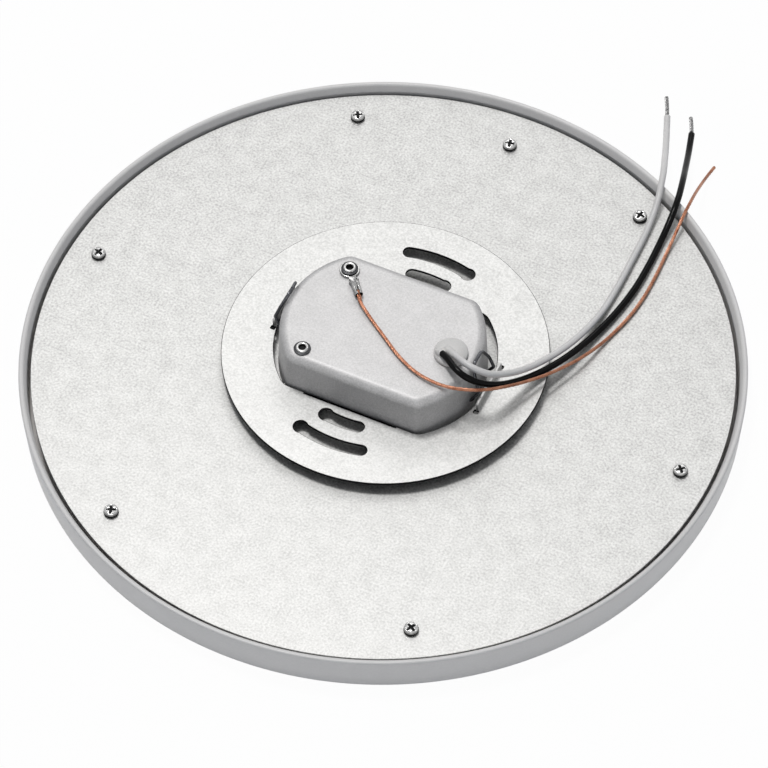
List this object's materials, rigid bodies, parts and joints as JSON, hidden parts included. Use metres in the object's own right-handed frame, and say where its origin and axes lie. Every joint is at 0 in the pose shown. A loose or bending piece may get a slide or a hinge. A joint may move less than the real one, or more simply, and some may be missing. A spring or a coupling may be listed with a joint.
{
  "type": "led flush mount light",
  "caption": "Slim round edge-lit flush mount light, lying face down: bezel, back plate, slotted mounting plate, driver box with spring clips and free supply leads.",
  "frame": {"origin": "centre of the bezel in plan, at the level of the floor on which its front rests, found without the free leads", "axes": "+Z out of the ceiling side of the light; +X along the driver box, towards the lead bushing; +Y across the box, towards the side where the free leads lie"},
  "size_m": [0.256, 0.2923, 0.0371],
  "materials": {
    "silver_paint": "satin silver-grey paint on pressed metal",
    "galvanised_steel": "galvanised sheet with a fine pale grain",
    "satin_alloy": "satin, slightly warm grey",
    "plated_steel": "bright plated",
    "spring_steel": "dark drawn spring wire",
    "tinned_metal": "bright tinned",
    "bare_copper": "bare twisted copper, brown-orange",
    "opal_plastic": "opal white, light spreading",
    "clear_acrylic": "clear and polished",
    "white_film": "matt white",
    "grey_foam": "dark grey soft foam",
    "natural_nylon": "milky, slightly translucent white",
    "white_insulation": "satin off-white",
    "black_insulation": "satin black",
    "red_insulation": "satin red",
    "board_laminate": "green solder resist",
    "black_resin": "matt moulded black",
    "black_sleeve": "satin black",
    "yellow_tape": "yellow winding tape",
    "blue_coating": "blue coating",
    "ferrite": "dark grey, matt"
  },
  "bodies": {
    "light": {"rim_frame": "silver_paint", "diffuser_lens": "opal_plastic", "light_guide_plate": "clear_acrylic", "reflector_sheet": "white_film", "backing_foam": "grey_foam", "led_carrier_ring": "satin_alloy", "led_strip": "white_film", "back_plate": "galvanised_steel", "back_screw_1": "plated_steel", "back_screw_2": "plated_steel", "back_screw_3": "plated_steel", "back_screw_4": "plated_steel", "back_screw_5": "plated_steel", "back_screw_6": "plated_steel", "back_screw_7": "plated_steel", "mounting_plate": "galvanised_steel", "driver_housing": "satin_alloy", "housing_bracket": "galvanised_steel", "housing_rivet_1": "plated_steel", "housing_rivet_2": "plated_steel", "ground_terminal": "tinned_metal", "ground_lead": "bare_copper", "lead_bushing": "natural_nylon", "white_lead": "white_insulation", "white_lead_tip": "tinned_metal", "black_lead": "black_insulation", "black_lead_tip": "tinned_metal", "driver_board": "board_laminate", "board_insulator": "black_sleeve", "transformer": "yellow_tape", "bulk_capacitor": "black_sleeve", "output_capacitor": "black_sleeve", "film_capacitor": "blue_coating", "choke": "ferrite", "rectifier": "black_resin", "controller_chip": "black_resin", "fuse": "white_film", "white_lead_inner": "white_insulation", "black_lead_inner": "black_insulation", "led_lead_red": "red_insulation", "led_lead_black": "black_insulation"},
    "clip_left_body": {"clip_left": "spring_steel"},
    "clip_right_body": {"clip_right": "spring_steel"}
  },
  "joints": [
    {"name": "clip_right_squeeze", "type": "hinge", "parent": "light", "child": "clip_right_body", "pos_m": [0.034, 0.0009, 0.0164], "axis": [0, 1, 0], "range_deg": [-4, 5], "stiffness_Nm_per_rad": 0.02},
    {"name": "clip_left_squeeze", "type": "hinge", "parent": "light", "child": "clip_left_body", "pos_m": [-0.034, 0.0009, 0.0164], "axis": [0, -1, 0], "range_deg": [-4, 5], "stiffness_Nm_per_rad": 0.02}
  ]
}
